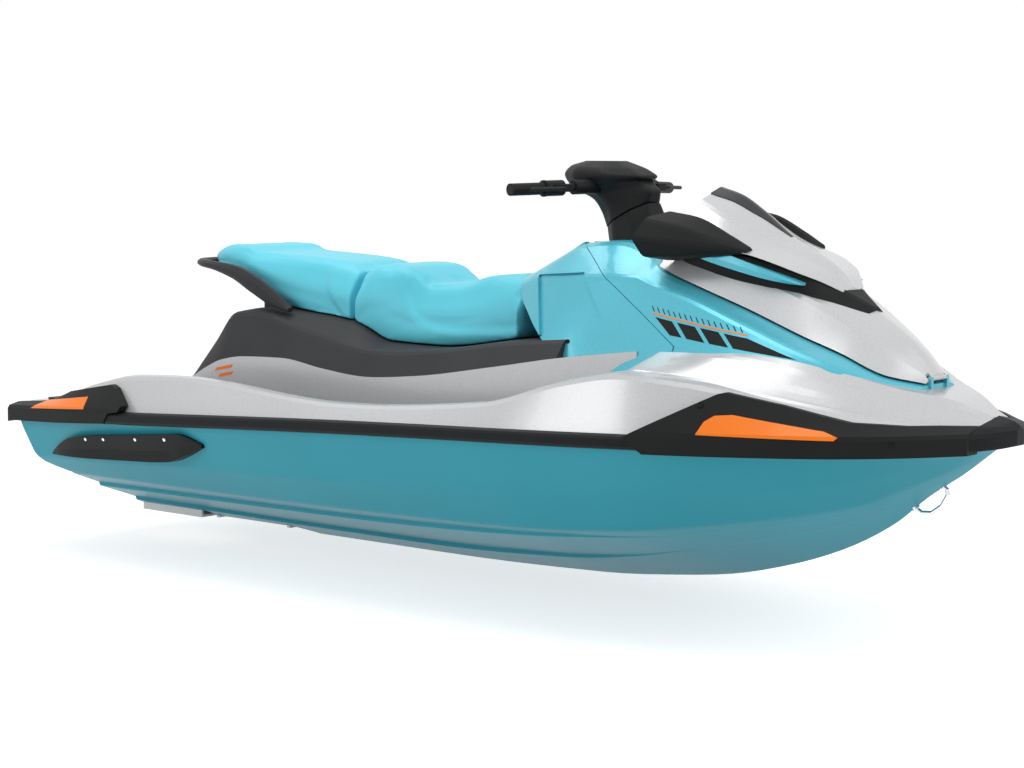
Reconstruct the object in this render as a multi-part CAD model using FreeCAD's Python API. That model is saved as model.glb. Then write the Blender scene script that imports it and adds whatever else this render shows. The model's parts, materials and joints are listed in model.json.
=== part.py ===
import FreeCAD, Part
import os
from math import cos, pi, radians, sin

# Three-seat jet-drive personal watercraft, in millimetres.
# +X points to the bow, +Y to port and +Z up. The lines are drawn from the stern and the
# flat run of the keel, and every piece is then moved to the origin, which is on the
# waterline amidships.

V = FreeCAD.Vector

# ---------------------------------------------------------------- driving sizes
LENGTH = 3350.0            # bow tip to stern
BEAM = 1220.0              # over the rub rails
DRAWN_LENGTH = 3350.0      # the length and beam that the tables below are drawn at
DRAWN_BEAM = 1220.0
ORIGIN_X = 1500.0          # origin forward of the stern
WATERLINE_Z = 284.0        # waterline above the keel, with the craft empty

SEAT_GAP = 0.3             # a piece at rest on another
PANEL_GAP = 5.0            # round a lid
WIDE_BEND = 10.0           # a corner cut back by this much or more takes two steps
SEAT_SINK = 30.0           # how far a cushion is drawn into the base that is cut from it
STRAKE_STEP = 12.0
FLANGE = 26.0              # the hull's flange, where the deck lands on it

RAIL_WIDTH = 22.0
RAIL_HEIGHT = 40.0
GUARD_PROUD = 5.0          # a guard stands out from the rail by this much

ENGINE = (700.0, 380.0, 420.0)
ENGINE_X = 1240.0
ENGINE_Z = 130.0
BAY_MARGIN = 15.0

PUMP_AXIS_Z = 150.0
PUMP_BORE = 160.0
PUMP_WALL = 12.0
PUMP_FRONT_X = 500.0
PUMP_REAR_X = 205.0
TIP_CLEARANCE = 5.0
IMPELLER_X0 = 395.0
IMPELLER_X1 = 470.0
BLADES = 4
VANES = 6
HUB_RADIUS = 30.0
SHAFT_RADIUS = 13.0
SHAFT_BORE = 20.0
TUNNEL_HALF = 125.0
TUNNEL_TOP = 285.0

NOZZLE_PIVOT_X = 135.0
NOZZLE_X = (48.0, 178.0)        # its mouth and its inlet
NOZZLE_BORE = 100.0
NOZZLE_EXIT = 82.0
NOZZLE_WALL = 7.0
EAR_THICKNESS = 9.0
EAR_GAP = 1.0                   # between an ear and the boss that turns beside it
BOSS_RADIUS = 15.0
PIVOT_RADIUS = 6.0
BUCKET_PIVOT_X = 100.0
BUCKET_RADIUS = 92.0
BUCKET_WALL = 5.0
BUCKET_HALF = 74.0

COLUMN_BASE = (2150.0, 985.0)   # x, z where the steering column leaves the console
COLUMN_RAKE = 27.0              # degrees that the column leans aft
COLUMN_RADIUS = 18.0
COLUMN_DEPTH = 50.0
COLUMN_PLAY = 0.5
COLUMN_JOINT = 50.0             # up the column: the fixed cover below, the neck above
BAR_INNER = (2052.0, 1116.0)    # drawn x, z where the bar leaves the neck's arms
BAR_OUTER = (2005.0, 1111.0)
BAR_ROOT = 150.0                # the arms' half breadth
BAR_HALF = 366.0
BAR_DIAMETER = 22.0
ARM_DIAMETER = 40.0
GRIP_DIAMETER = 34.0
GRIP_LENGTH = 118.0
GRIP_FLANGE = (46.0, 6.0)       # diameter, thickness
SWITCH_RUN = (190.0, 246.0)     # half breadths
SWITCH_DIAMETER = 44.0
SWITCH_BRACKET = (10.0, 20.0)   # in from the housing's ends, height
LEVER_DIAMETER = 11.0
LEVER_RUN = (214.0, 248.0, 346.0)   # half breadths of its pivot, its bend and its end
LEVER_SET = 52.0                # a lever's run, forward of the bar
LEVER_BULGE = 8.0               # more than that at its bend

BOW_EYE_WIRE = 11.0
MAT = 6.0

HOOD_WALL = 6.0
HOOD_HINGE = (3118.0, 640.0)    # drawn x, z
HINGE_PIN = 3.0
HINGE_RADIUS = 6.0
HINGE_HALF = 34.0
HINGE_REACH = 46.0
EAR_SLOT = 3.0                  # round an ear, in the hood's nose
BIN_WALL = 8.0
BIN_FROM = 2480.0               # drawn x
BIN_TO = 2930.0
BIN_HALF = 160.0
BIN_FLOOR = 470.0
BIN_RIM = 680.0

GLOVEBOX_LOW = (1925.0, 893.0)     # x, z of the opening's lower and upper ends
GLOVEBOX_HIGH = (2058.0, 966.0)
GLOVEBOX_HALF = 105.0
GLOVEBOX_DEPTH = 110.0
GLOVEBOX_WALL = 4.0
LID_THICKNESS = 16.0
LID_BARREL = 6.0
LID_BARREL_HALF = 55.0
LID_HINGE_SET = 8.0             # the hinge's axis in from the opening's edge and face
LID_PIN = 3.0
LID_KNUCKLE = 20.0

RIDE_PLATE = (186.0, 478.0, 24.0, 94.0)    # x0, x1, lower z, upper z
RIDE_PLATE_WALL = 8.0
GRATE = (845.0, 22.0, 34.0)                # front x, lower z, upper z
GRATE_BAR = 8.0
GRATE_PITCH = 32.0
DUCT_HALF = 80.0
DUCT_FRONT = (900.0, 5.0)                  # x, z where the duct's roof meets the bottom
SWIM_MAT = (40.0, 600.0, 400.0)            # drawn x0, x1, half breadth
SEAM_HIGH = (2072.0, 962.0)                # drawn x, z of the line between console and fairing
SEAM_LOW = (2526.0, 709.0)
SEAM_GAP = 4.0
RECESS_DEPTH = 9.0
GLASS = 3.0
SCREEN = 3.0


# ---------------------------------------------------------------- lines
# The hull and deck share their stations, so that they meet along the same lines.
# x, keel z, inner strake y, outer strake y, strake step (share), bottom edge y, z,
# chine y, z
HULL_LINES = [
    (0, 0, 152, 300, 1.0, 418, 174, 468, 226),
    (180, 0, 150, 305, 1.0, 416, 176, 476, 235),
    (400, 0, 146, 309, 1.0, 415, 176, 484, 243),
    (640, 0, 138, 316, 1.0, 414, 176, 492, 253),
    (900, 0, 130, 325, 1.0, 417, 177, 504, 264),
    (1480, 0, 132, 350, 1.0, 436, 186, 520, 283),
    (2050, 13, 165, 380, 0.8, 438, 199, 515, 311),
    (2330, 38, 192, 360, 0.4, 412, 215, 494, 330),
    (2490, 60, 214, 330, 0.2, 386, 231, 471, 343),
    (2690, 110, 190, 275, 0.1, 330, 261, 424, 357),
    (2850, 169, 150, 215, 0.1, 268, 287, 360, 368),
    (3000, 252, 92, 135, 0.1, 180, 320, 272, 386),
    (3100, 334, 55, 85, 0.1, 118, 366, 204, 414),
    (3200, 402, 26, 44, 0.1, 62, 420, 120, 448),
    (3290, 474, 8, 14, 0.1, 24, 479, 60, 484),
]

# x, z of the slanted stern below the gunwale
STERN_LINES = [(-10, 400), (16, 400), (29, 326), (58, 242), (83, 211), (119, 197), (180, 180),
               (180, -10), (-10, -10)]

# x, gunwale y, z, hull cap z, crest y, z, crest inner y, floor outer y, z, floor inner
# y, z, centre y, z
DECK_LINES = [
    (0, 508, 372, 322, 480, 402, 458, 430, 406, 330, 408, 220, 409),
    (180, 530, 381, 325, 500, 420, 472, 445, 408, 330, 409, 220, 410),
    (400, 553, 391, 330, 512, 488, 480, 455, 406, 330, 406, 220, 408),
    (640, 568, 402, 335, 523, 534, 488, 463, 394, 328, 394, 240, 398),
    (900, 580, 416, 340, 531, 543, 495, 470, 386, 322, 386, 280, 390),
    (1480, 588, 445, 345, 540, 510, 503, 478, 386, 315, 386, 290, 390),
    (2050, 588, 467, 350, 540, 549, 503, 475, 392, 320, 392, 300, 398),
    (2330, 579, 476, 368, 529, 625, 492, 458, 440, 335, 440, 300, 470),
    (2490, 564, 481, 390, 514, 650, 478, 445, 662, 345, 690, 320, 698),
    (2690, 515, 485, 410, 461, 634, 430, 405, 655, 345, 695, 320, 704),
    (2850, 455, 488, 425, 409, 598, 380, 360, 622, 315, 672, 290, 690),
    (3000, 383, 490, 440, 336, 568, 315, 295, 592, 245, 628, 215, 652),
    (3100, 317, 492, 452, 268, 549, 250, 232, 566, 180, 600, 150, 620),
    (3200, 228, 495, 472, 190, 538, 175, 160, 550, 110, 574, 80, 596),
    (3290, 120, 498, 494, 92, 534, 82, 68, 541, 40, 549, 25, 554),
]

# The pedestal under the seats and the dark trim on it share their stations.
# x, foot y, z, border y, z, shoulder y, z, ledge y, z
BASE_LINES = [
    (652, 320, 380, 316, 514, 300, 524, 250, 526),
    (730, 323, 376, 321, 552, 282, 632, 230, 636),
    (805, 326, 372, 325, 579, 268, 722, 205, 728),
    (900, 326, 370, 325, 593, 266, 726, 202, 738),
    (1065, 324, 370, 323, 597, 268, 685, 200, 728),
    (1240, 320, 370, 319, 574, 270, 652, 197, 709),
    (1400, 316, 370, 315, 560, 268, 634, 190, 654),
    (1590, 316, 370, 315, 573, 266, 645, 184, 650),
    (1900, 319, 374, 318, 618, 270, 684, 180, 688),
    (2140, 322, 378, 321, 657, 282, 706, 178, 708),
    (2410, 332, 384, 331, 690, 300, 712, 178, 714),
]
TRIM_END = 2130.0          # drawn x

# x, low y, z, wide y, z, top y, z
PASSENGER_SEAT = [
    (512, 130, 864, 146, 874, 118, 884),
    (560, 168, 862, 184, 880, 150, 908),
    (640, 190, 860, 204, 886, 164, 925),
    (740, 198, 842, 210, 880, 170, 922),
    (800, 200, 824, 211, 868, 168, 904),
    (960, 202, 763, 212, 822, 166, 896),
    (1100, 200, 726, 210, 795, 164, 888),
    (1190, 197, 713, 207, 785, 158, 874),
    (1232, 196, 709, 203, 780, 150, 862),
]
RIDER_SEAT = [
    (1240, 196, 706, 203, 776, 150, 862),
    (1310, 194, 680, 202, 768, 152, 881),
    (1390, 190, 650, 199, 755, 148, 876),
    (1450, 188, 646, 197, 742, 146, 852),
    (1500, 187, 648, 196, 735, 144, 826),
    (1590, 184, 655, 194, 738, 142, 829),
    (1730, 180, 668, 190, 750, 134, 858),
    (1870, 176, 690, 184, 768, 124, 866),
]

# x, base y, z, waist y, z, top y, z of the console and, forward of the seam, the fairing.
# From the hood's first station on, the top is the hood's seam less a gap.
BODY_LINES = [
    (1876, 168, 812, 164, 840, 140, 862),
    (1930, 205, 775, 178, 858, 146, 888),
    (2000, 250, 725, 196, 872, 142, 924),
    (2072, 282, 680, 212, 872, 128, 960),
    (2200, 300, 640, 232, 876, 126, 972),
    (2330, 330, 632, 242, 880, 150, 938),
    (2392, 345, 632, 250, 862, 206, 905),
    (2440, 352, 636, 258, 852, 208, 884),
    (2520, 360, 640, 268, 836, 208, 856),
    (2680, 370, 640, 280, 782, 203, 800),
    (2830, 348, 618, 272, 724, 195, 741),
    (2940, 298, 606, 242, 682, 178, 699),
    (3040, 226, 585, 184, 636, 146, 650),
    (3118, 130, 575, 86, 616, 66, 625),
]
# The recess in the console's side, in drawn x and z
RECESS = [(1952, 872), (2142, 886), (2244, 768), (2232, 744), (2024, 706)]

# x, seam y, z, shoulder y, z, crest z
HOOD_LINES = [
    (2392, 206, 910, 168, 945, 968),
    (2440, 208, 889, 167, 936, 962),
    (2520, 208, 861, 166, 922, 950),
    (2680, 203, 805, 160, 884, 914),
    (2830, 195, 746, 144, 830, 864),
    (2940, 178, 704, 119, 768, 804),
    (3040, 146, 655, 82, 704, 740),
    (3118, 66, 630, 34, 645, 654),
]

# x, foot y, z, top y, z of the dark moulding between the hood and the visor
COWL_LINES = [
    (2405, 165, 905, 150, 985),
    (2465, 178, 903, 178, 968),
    (2600, 178, 880, 196, 950),
    (2710, 164, 858, 178, 926),
    (2800, 140, 834, 120, 896),
    (2864, 118, 806, 50, 856),
    (2935, 78, 768, 12, 812),
]
# x, lower z, upper z, half breadth of the coloured blades on that moulding
BLADE_LINES = [
    (2458, 948, 956, 184), (2540, 924, 956, 196), (2690, 888, 920, 192), (2770, 872, 890, 168),
    (2800, 868, 876, 152),
]

# x, foot y, z, shoulder y, z, ridge z
VISOR_LINES = [
    (2448, 172, 1000, 100, 1084, 1118),
    (2513, 196, 978, 108, 1052, 1099),
    (2587, 204, 962, 98, 1012, 1055),
    (2676, 196, 944, 78, 964, 990),
    (2784, 152, 903, 46, 918, 936),
    (2826, 106, 880, 28, 896, 908),
    (2866, 56, 852, 10, 858, 864),
]
# drawn x and y of the dark screen let into the visor's ridge
SCREEN_PLAN = [(2440, 52), (2470, 50), (2560, 36), (2676, 5), (2676, -5), (2560, -36),
               (2470, -50), (2440, -52)]

# x where y is 185, slant of the section, then y, z pairs from the inner lower corner round
MIRROR_LINES = [
    (2420, 0.65, 150, 930, 185, 1058, 250, 1040, 286, 986, 258, 936, 190, 924),
    (2500, 0.45, 150, 936, 184, 1046, 238, 1020, 262, 976, 240, 938, 185, 930),
    (2600, 0.2, 150, 942, 178, 1000, 212, 984, 226, 962, 212, 944, 178, 938),
    (2657, 0.0, 150, 946, 170, 968, 190, 962, 196, 954, 190, 948, 168, 944),
]
MIRROR_GLASS = [(196, 1040), (242, 1026), (270, 984), (248, 952), (200, 946)]

# The steering's rings: drawn x, z of the aft and the forward edge, half breadth
COVER_BASE = ((2098, 950), (2262, 950), 84)
NECK_RINGS = [((2056, 1046), (2226, 1104), 56), ((2030, 1080), (2208, 1122), 60),
              ((1962, 1112), (2190, 1134), 84)]
PAD_RINGS = [((1938, 1152), (2200, 1146), 98), ((1956, 1176), (2170, 1166), 86),
             ((1996, 1190), (2112, 1189), 50)]
# and square to the column: up it, aft edge, forward edge, half breadth
COVER_COLLAR = (12, -62, 100, 72)
JOINT_EDGES = (-56, 104, 62)
RING_BEND = 10
PAD_BEND = 14
PAD_LIP = 4                     # the pad's overhang round the neck

# x, z outline of the instrument housing, and its half breadth
GAUGE = [(2322, 955), (2412, 925), (2412, 985), (2352, 1004)]
GAUGE_HALF = 72
# x, z outline of the step under the rear seat, and its half breadth
SEAT_RISER = [(812, 715), (1010, 715), (1010, 748), (812, 828)]
RISER_HALF = 150

# x, z outlines of the plastic guards
REAR_GUARD = [(-20, 340), (-20, 404), (25, 413), (235, 450), (535, 499), (566, 490), (628, 441),
              (618, 422), (568, 414), (545, 381), (300, 364), (28, 350)]
FRONT_GUARD = [(2553, 500), (2573, 478), (2603, 457), (3033, 464), (3290, 470), (3290, 541),
               (3163, 541), (3055, 549), (2906, 588), (2773, 615), (2758, 611)]
# the coloured panels let into them
REAR_INSERT = [(142, 398), (177, 424), (438, 456), (443, 418)]
FRONT_INSERT = [(2737, 513), (2748, 545), (2768, 560), (2808, 563), (3020, 530), (3055, 517),
                (3048, 509)]
# x, y, z along the grab handle's middle line, half width, half height
GRAB_LINES = [
    (1012, 232, 736, 12, 8), (955, 234, 760, 13, 20), (860, 236, 808, 14, 26),
    (760, 232, 846, 14, 20), (640, 218, 864, 15, 12), (560, 180, 868, 17, 11),
    (518, 110, 869, 18, 11), (508, 36, 869, 18, 11),
]

# drawn x, z along the bow eye's bar, from inside the stem round to inside it again
BOW_EYE = [(3040, 322), (3062, 300), (3078, 290), (3106, 292), (3134, 312), (3152, 342),
           (3150, 356), (3112, 386)]

# drawn x, half breadth, lower z, upper z at the side and in the middle
BUMPER_LINES = [
    (3290, 154, 478, 519, 556), (3312, 122, 480, 519, 551), (3332, 78, 482, 520, 545),
    (3350, 18, 486, 522, 534),
]


# ---------------------------------------------------------------- helpers
def along(x):
    """A drawn place along the craft, at the craft's length."""
    return x * LENGTH / DRAWN_LENGTH


def abeam(y):
    """A drawn breadth, at the craft's beam."""
    return y * BEAM / DRAWN_BEAM


def drawn(x, y, z):
    return V(along(x), abeam(y), z)


def fair_slope(stations, values, i):
    """The slope of a line at station i, level at a crest so that it can't overshoot."""
    if i == 0:
        return (values[1] - values[0]) / (stations[1] - stations[0])
    before = stations[i] - stations[i - 1]
    slope_in = (values[i] - values[i - 1]) / before
    if i == len(values) - 1:
        return slope_in
    after = stations[i + 1] - stations[i]
    slope_out = (values[i + 1] - values[i]) / after
    if slope_in * slope_out <= 0:
        return 0.0
    weight_in, weight_out = 2 * after + before, after + 2 * before
    return (weight_in + weight_out) / (weight_in / slope_in + weight_out / slope_out)


def read(table, x):
    """The row that a table's smooth lines give at a drawn x."""
    stations = [row[0] for row in table]
    i = 0
    while i < len(table) - 2 and x > stations[i + 1]:
        i += 1
    span = stations[i + 1] - stations[i]
    t = (x - stations[i]) / span
    row = []
    for values in zip(*table):
        slope0 = fair_slope(stations, values, i) * span
        slope1 = fair_slope(stations, values, i + 1) * span
        row.append(values[i] * (1 + 2 * t) * (1 - t) ** 2 + slope0 * t * (1 - t) ** 2
                   + values[i + 1] * t * t * (3 - 2 * t) - slope1 * t * t * (1 - t))
    return row


def closed(points):
    return Part.makePolygon(points + points[:1])


def rib(x, half):
    """The points of a section at a drawn x, from the (y, z) points of its port half."""
    port = [drawn(x, y, z) for y, z in half]
    return port + [V(p.x, -p.y, p.z) for p in reversed(port) if p.y > 0.01]


def side_rib(x, outline):
    return [drawn(x, y, z) for y, z in outline]


def fair_line(points, stations):
    """Poles of a smooth cubic line through points, two for each inner station."""
    poles = [points[0]]
    last = len(points) - 1
    columns = [[p.x for p in points], [p.y for p in points], [p.z for p in points]]
    for i, point in enumerate(points):
        slope = V(*[fair_slope(stations, values, i) for values in columns])
        if i > 0:
            poles.append(point - slope * ((stations[i] - stations[i - 1]) / 3))
        if i < last:
            poles.append(point + slope * ((stations[i + 1] - stations[i]) / 3))
    return poles + [points[-1]]


def both(bends):
    """The bends of a whole section, from those of its port half."""
    return bends + bends[-2:0:-1]


def eased(points, bends):
    """A section with its corners cut back by their bends, in two steps where they are wide."""
    row = []
    for j, (point, bend) in enumerate(zip(points, bends)):
        if not bend:
            row.append(point)
            continue
        back, ahead = points[j - 1] - point, points[(j + 1) % len(points)] - point
        start = point + back * min(bend / back.Length, 0.45)
        end = point + ahead * min(bend / ahead.Length, 0.45)
        middle = [(start + point * 2 + end) * 0.25] if bend >= WIDE_BEND else []
        row += [start] + middle + [end]
    return row


def skin(ribs, stations=None, bends=None):
    """A solid whose lines run smoothly along its ribs, with flat strips between lines."""
    stations = stations or [points[0].x for points in ribs]
    if bends:
        ribs = [eased(points, bends) for points in ribs]
    lines = [fair_line(points, stations) for points in zip(*ribs)]
    mults = [4] + [2] * (len(stations) - 2) + [4]
    faces = [Part.Face(closed(ribs[0])), Part.Face(closed(ribs[-1]))]
    for line, beside in zip(lines, lines[1:] + lines[:1]):
        strip = Part.BSplineSurface()
        strip.buildFromPolesMultsKnots([line, beside], [2, 2], mults, [0.0, 1.0], stations,
                                       False, False, 1, 3)
        faces.append(strip.toShape())
    shell = Part.makeShell(faces)
    shell.sewShape()
    return Part.makeSolid(shell)


def loft(outlines):
    """A solid with straight sides between closed outlines."""
    return Part.makeLoft([closed(points) for points in outlines], True, True)


def mirrored(shape):
    return shape.mirror(V(0, 0, 0), V(0, 1, 0))


def pair(shape):
    return Part.makeCompound([shape, mirrored(shape)])


def block(x0, x1, y0, y1, z0, z1):
    return Part.makeBox(x1 - x0, y1 - y0, z1 - z0, V(x0, y0, z0))


def side_plate(outline, y0, y1):
    """An (x, z) outline, in drawn x, made solid from y0 to y1."""
    face = Part.Face(closed([V(along(x), y0, z) for x, z in outline]))
    return face.extrude(V(0, y1 - y0, 0))


def rod_x(radius, x0, x1, z, y=0.0):
    return Part.makeCylinder(radius, x1 - x0, V(x0, y, z), V(1, 0, 0))


def rod_y(radius, y0, y1, x, z):
    return Part.makeCylinder(radius, y1 - y0, V(x, y0, z), V(0, 1, 0))


def cone_x(radius0, radius1, x0, x1, z):
    return Part.makeCone(radius0, radius1, x1 - x0, V(x0, 0, z), V(1, 0, 0))


def tube(points, radius):
    """A round bar through points, with a ball at each inner point."""
    bar = None
    for a, b in zip(points, points[1:]):
        run = Part.makeCylinder(radius, (b - a).Length, a, b - a)
        bar = run if bar is None else bar.fuse(run).fuse(Part.makeSphere(radius, a))
    return bar


# ---------------------------------------------------------------- hull
def side_breadth(x, z):
    """The hull's half breadth between its chine and its gunwale."""
    chine_y, chine_z = read(HULL_LINES, x)[7:9]
    gunwale_y, gunwale_z = read(DECK_LINES, x)[1:3]
    share = (z - chine_z) / (gunwale_z - chine_z)
    return chine_y + share * (gunwale_y - chine_y)


def flange_lines(x):
    """Half of the joint between hull and deck: gunwale, flange and cap."""
    gunwale_y, gunwale_z, cap = read(DECK_LINES, x)[1:4]
    return [(gunwale_y, gunwale_z), (gunwale_y - FLANGE, gunwale_z),
            (side_breadth(x, cap) - FLANGE, cap), (0, cap)]


def hull_rib(row):
    x, keel, inner, outer, share, edge_y, edge_z, chine_y, chine_z = row
    step = STRAKE_STEP * share
    rise = (edge_z - keel) / edge_y
    return rib(x, [
        (0, keel),
        (inner, keel + rise * inner - step / 2), (inner + 4, keel + rise * inner + step / 2),
        (outer, keel + rise * outer - step / 2), (outer + 4, keel + rise * outer + step / 2),
        (edge_y, edge_z), (chine_y, chine_z)] + flange_lines(x))


def engine_bay():
    x0 = along(ENGINE_X) - BAY_MARGIN
    half = ENGINE[1] / 2 + BAY_MARGIN
    return block(x0, x0 + ENGINE[0] + 2 * BAY_MARGIN, -half, half, ENGINE_Z,
                 ENGINE_Z + ENGINE[2] + BAY_MARGIN)


def hull():
    body = skin([hull_rib(row) for row in HULL_LINES],
                bends=both([0, 0, 0, 0, 0, 12, 10, 0, 0, 0, 0]))
    body = body.cut(side_plate(STERN_LINES, -BEAM, BEAM))
    tunnel = block(0, PUMP_FRONT_X, -TUNNEL_HALF, TUNNEL_HALF, -50, TUNNEL_TOP)
    duct = loft([
        [V(x, -DUCT_HALF, -40), V(x, DUCT_HALF, -40), V(x, DUCT_HALF, top), V(x, -DUCT_HALF, top)]
        for x, top in ((PUMP_FRONT_X - 1, PUMP_AXIS_Z + PUMP_BORE / 2 - 5), DUCT_FRONT)])
    shaft = rod_x(SHAFT_BORE, PUMP_FRONT_X, along(ENGINE_X), PUMP_AXIS_Z)
    return body.cut(tunnel).cut(duct).cut(shaft).cut(engine_bay())


def deck_rib(row):
    (x, gunwale_y, gunwale_z, cap, crest_y, crest_z, lip_y, out_y, out_z,
     in_y, in_z, centre_y, centre_z) = row
    return rib(x, flange_lines(x)[::-1] + [
        (gunwale_y - 8, gunwale_z + 20), (crest_y, crest_z),
        (lip_y, crest_z), (out_y, out_z), (in_y, in_z), (centre_y, centre_z),
        (0, centre_z)])


def storage_bin_space():
    """The hollow under the hood that holds the bin."""
    return block(along(BIN_FROM), along(BIN_TO), -abeam(BIN_HALF), abeam(BIN_HALF), BIN_FLOOR,
                 BIN_FLOOR + 600)


def deck():
    body = skin([deck_rib(row) for row in DECK_LINES],
                bends=both([0, 0, 0, 0, 0, 16, 12, 24, 9, 0, 0]))
    return body.cut(engine_bay()).cut(storage_bin_space())


def seat_pedestal():
    body = skin([rib(x, [(0, foot_z), (foot_y, foot_z), (border_y, border_z), (0, border_z)])
                 for x, foot_y, foot_z, border_y, border_z, *rest in BASE_LINES])
    return body.cut(engine_bay())


def seat_base_trim():
    body = skin([rib(x, [(0, border_z), (border_y, border_z), (shoulder_y, shoulder_z),
                         (ledge_y, ledge_z), (0, ledge_z)])
                 for x, foot_y, foot_z, border_y, border_z, shoulder_y, shoulder_z, ledge_y,
                 ledge_z in BASE_LINES], bends=both([0, 0, 14, 8, 0]))
    body = body.cut(block(along(TRIM_END), along(2500), -BEAM, BEAM, 300, 900))
    riser = side_plate(SEAT_RISER, -abeam(RISER_HALF), abeam(RISER_HALF))
    return body.fuse(riser).cut(engine_bay())


def cushion(table):
    return skin([rib(x, [(0, low_z - SEAT_SINK), (low_y - SEAT_SINK, low_z - SEAT_SINK),
                         (low_y, low_z), (wide_y, wide_z), (top_y, top_z), (0, top_z)])
                 for x, low_y, low_z, wide_y, wide_z, top_y, top_z in table],
                bends=both([0, 0, 8, 24, 26, 0]))


def dash_form(inset=0.0):
    """The console and the fairing as one body."""
    return skin([rib(x, [(0, base_z), (base_y - inset, base_z), (waist_y - inset, waist_z),
                         (top_y, top_z), (0, top_z)])
                 for x, base_y, base_z, waist_y, waist_z, top_y, top_z in BODY_LINES],
                bends=both([0, 0, 12, 20, 0]))


def seam_side(aft, shift=0.0):
    """The space on one side of the slanted seam between the console and the fairing."""
    slope = (SEAM_LOW[0] - SEAM_HIGH[0]) / (SEAM_HIGH[1] - SEAM_LOW[1])
    high, low = 1100, 560
    line = [(SEAM_HIGH[0] + (SEAM_HIGH[1] - z) * slope + shift, z) for z in (high, SEAM_LOW[1])]
    line.append((line[1][0], low))
    far = 1700 if aft else 3300
    return side_plate(line + [(far, low), (far, high)], -BEAM, BEAM)


def console():
    body = dash_form().common(seam_side(True))
    panel = side_plate(RECESS, -BEAM, BEAM).common(seam_side(True, -40.0))
    body = body.cut(panel.cut(dash_form(RECESS_DEPTH))).cut(glovebox_space())
    body = body.cut(storage_bin_space())
    for side in (1, -1):
        low, high = sorted((side * (LID_BARREL_HALF + SEAT_GAP),
                            side * (LID_BARREL_HALF + LID_KNUCKLE)))
        x, z = on_slope(slope_length() - LID_HINGE_SET, -LID_HINGE_SET)
        knuckle = rod_y(LID_BARREL, low, high, x, z)
        lug = slope_plate(slope_length() - LID_HINGE_SET, slope_length() + 2,
                          -LID_HINGE_SET - LID_BARREL, -LID_HINGE_SET, high, low)
        body = body.fuse(knuckle).fuse(lug).cut(rod_y(LID_PIN + 0.1, low - 1, high + 1, x, z))
    return body


def hood_ears():
    """Two ears that hold the hood's hinge barrel."""
    x, z = along(HOOD_HINGE[0]), HOOD_HINGE[1]
    for side in (1, -1):
        low, high = sorted((side * (HINGE_HALF + SEAT_GAP), side * HINGE_REACH))
        ear = rod_y(HINGE_RADIUS, low, high, x, z)
        yield ear.fuse(block(x - HINGE_RADIUS, x + HINGE_RADIUS, low, high, z - 50, z))


def front_fairing():
    body = dash_form().common(seam_side(False, SEAM_GAP))
    for ear in hood_ears():
        body = body.fuse(ear)
    pin = rod_y(HINGE_PIN + 0.1, -HINGE_REACH - 1, HINGE_REACH + 1, along(HOOD_HINGE[0]),
                HOOD_HINGE[1])
    bore = column_rod(COLUMN_RADIUS + COLUMN_PLAY, -COLUMN_DEPTH - 2, COLUMN_JOINT)
    return body.cut(pin).cut(bore).cut(storage_bin_space())


def gauge_display():
    """The instruments' housing, on the aft end of the dark moulding."""
    return side_plate(GAUGE, -abeam(GAUGE_HALF), abeam(GAUGE_HALF))


# ---------------------------------------------------------------- glovebox
def on_slope(distance, height):
    """A point of the glovebox slope: distance up it from its lower end, height off it."""
    x0, z0 = along(GLOVEBOX_LOW[0]), GLOVEBOX_LOW[1]
    x1, z1 = along(GLOVEBOX_HIGH[0]), GLOVEBOX_HIGH[1]
    length = ((x1 - x0) ** 2 + (z1 - z0) ** 2) ** 0.5
    ux, uz = (x1 - x0) / length, (z1 - z0) / length
    return x0 + ux * distance - uz * height, z0 + uz * distance + ux * height


def slope_length():
    x0, z0 = on_slope(0, 0)
    x1, z1 = along(GLOVEBOX_HIGH[0]), GLOVEBOX_HIGH[1]
    return ((x1 - x0) ** 2 + (z1 - z0) ** 2) ** 0.5


def slope_plate(start, end, low, high, y1, y0=None):
    y0 = -y1 if y0 is None else y0
    corners = [on_slope(start, low), on_slope(end, low), on_slope(end, high),
               on_slope(start, high)]
    face = Part.Face(closed([V(x, y0, z) for x, z in corners]))
    return face.extrude(V(0, y1 - y0, 0))


def glovebox_space():
    return slope_plate(0, slope_length(), -GLOVEBOX_DEPTH, 40, GLOVEBOX_HALF)


def glovebox_bin():
    lip = -LID_THICKNESS - PANEL_GAP
    end = slope_length()
    outer = slope_plate(SEAT_GAP, end - SEAT_GAP, -GLOVEBOX_DEPTH, lip,
                        GLOVEBOX_HALF - SEAT_GAP)
    wall = GLOVEBOX_WALL
    inner = slope_plate(wall, end - wall, -GLOVEBOX_DEPTH + wall, lip + wall, GLOVEBOX_HALF - wall)
    return outer.cut(inner)


def glovebox_lid():
    end = slope_length()
    plate = slope_plate(PANEL_GAP, end - PANEL_GAP, -LID_THICKNESS, 0,
                        GLOVEBOX_HALF - PANEL_GAP)
    for side in (1, -1):
        low, high = sorted((side * (LID_BARREL_HALF - 4),
                            side * (LID_BARREL_HALF + LID_KNUCKLE + 4)))
        plate = plate.cut(slope_plate(end - LID_HINGE_SET - LID_BARREL - PANEL_GAP, end + 5,
                                      -LID_THICKNESS - 1, 1, high, low))
    x, z = on_slope(end - LID_HINGE_SET, -LID_HINGE_SET)
    barrel = rod_y(LID_BARREL, -LID_BARREL_HALF, LID_BARREL_HALF, x, z)
    reach = LID_BARREL_HALF + LID_KNUCKLE
    return plate.fuse(barrel).fuse(rod_y(LID_PIN, -reach, reach, x, z))


# ---------------------------------------------------------------- hood and visor
def hood_form():
    return skin([rib(x, [(0, seam_z), (seam_y, seam_z), (shoulder_y, shoulder_z),
                         (0, crest_z)])
                 for x, seam_y, seam_z, shoulder_y, shoulder_z, crest_z in HOOD_LINES],
                bends=both([0, 0, 9, 30]))


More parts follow.
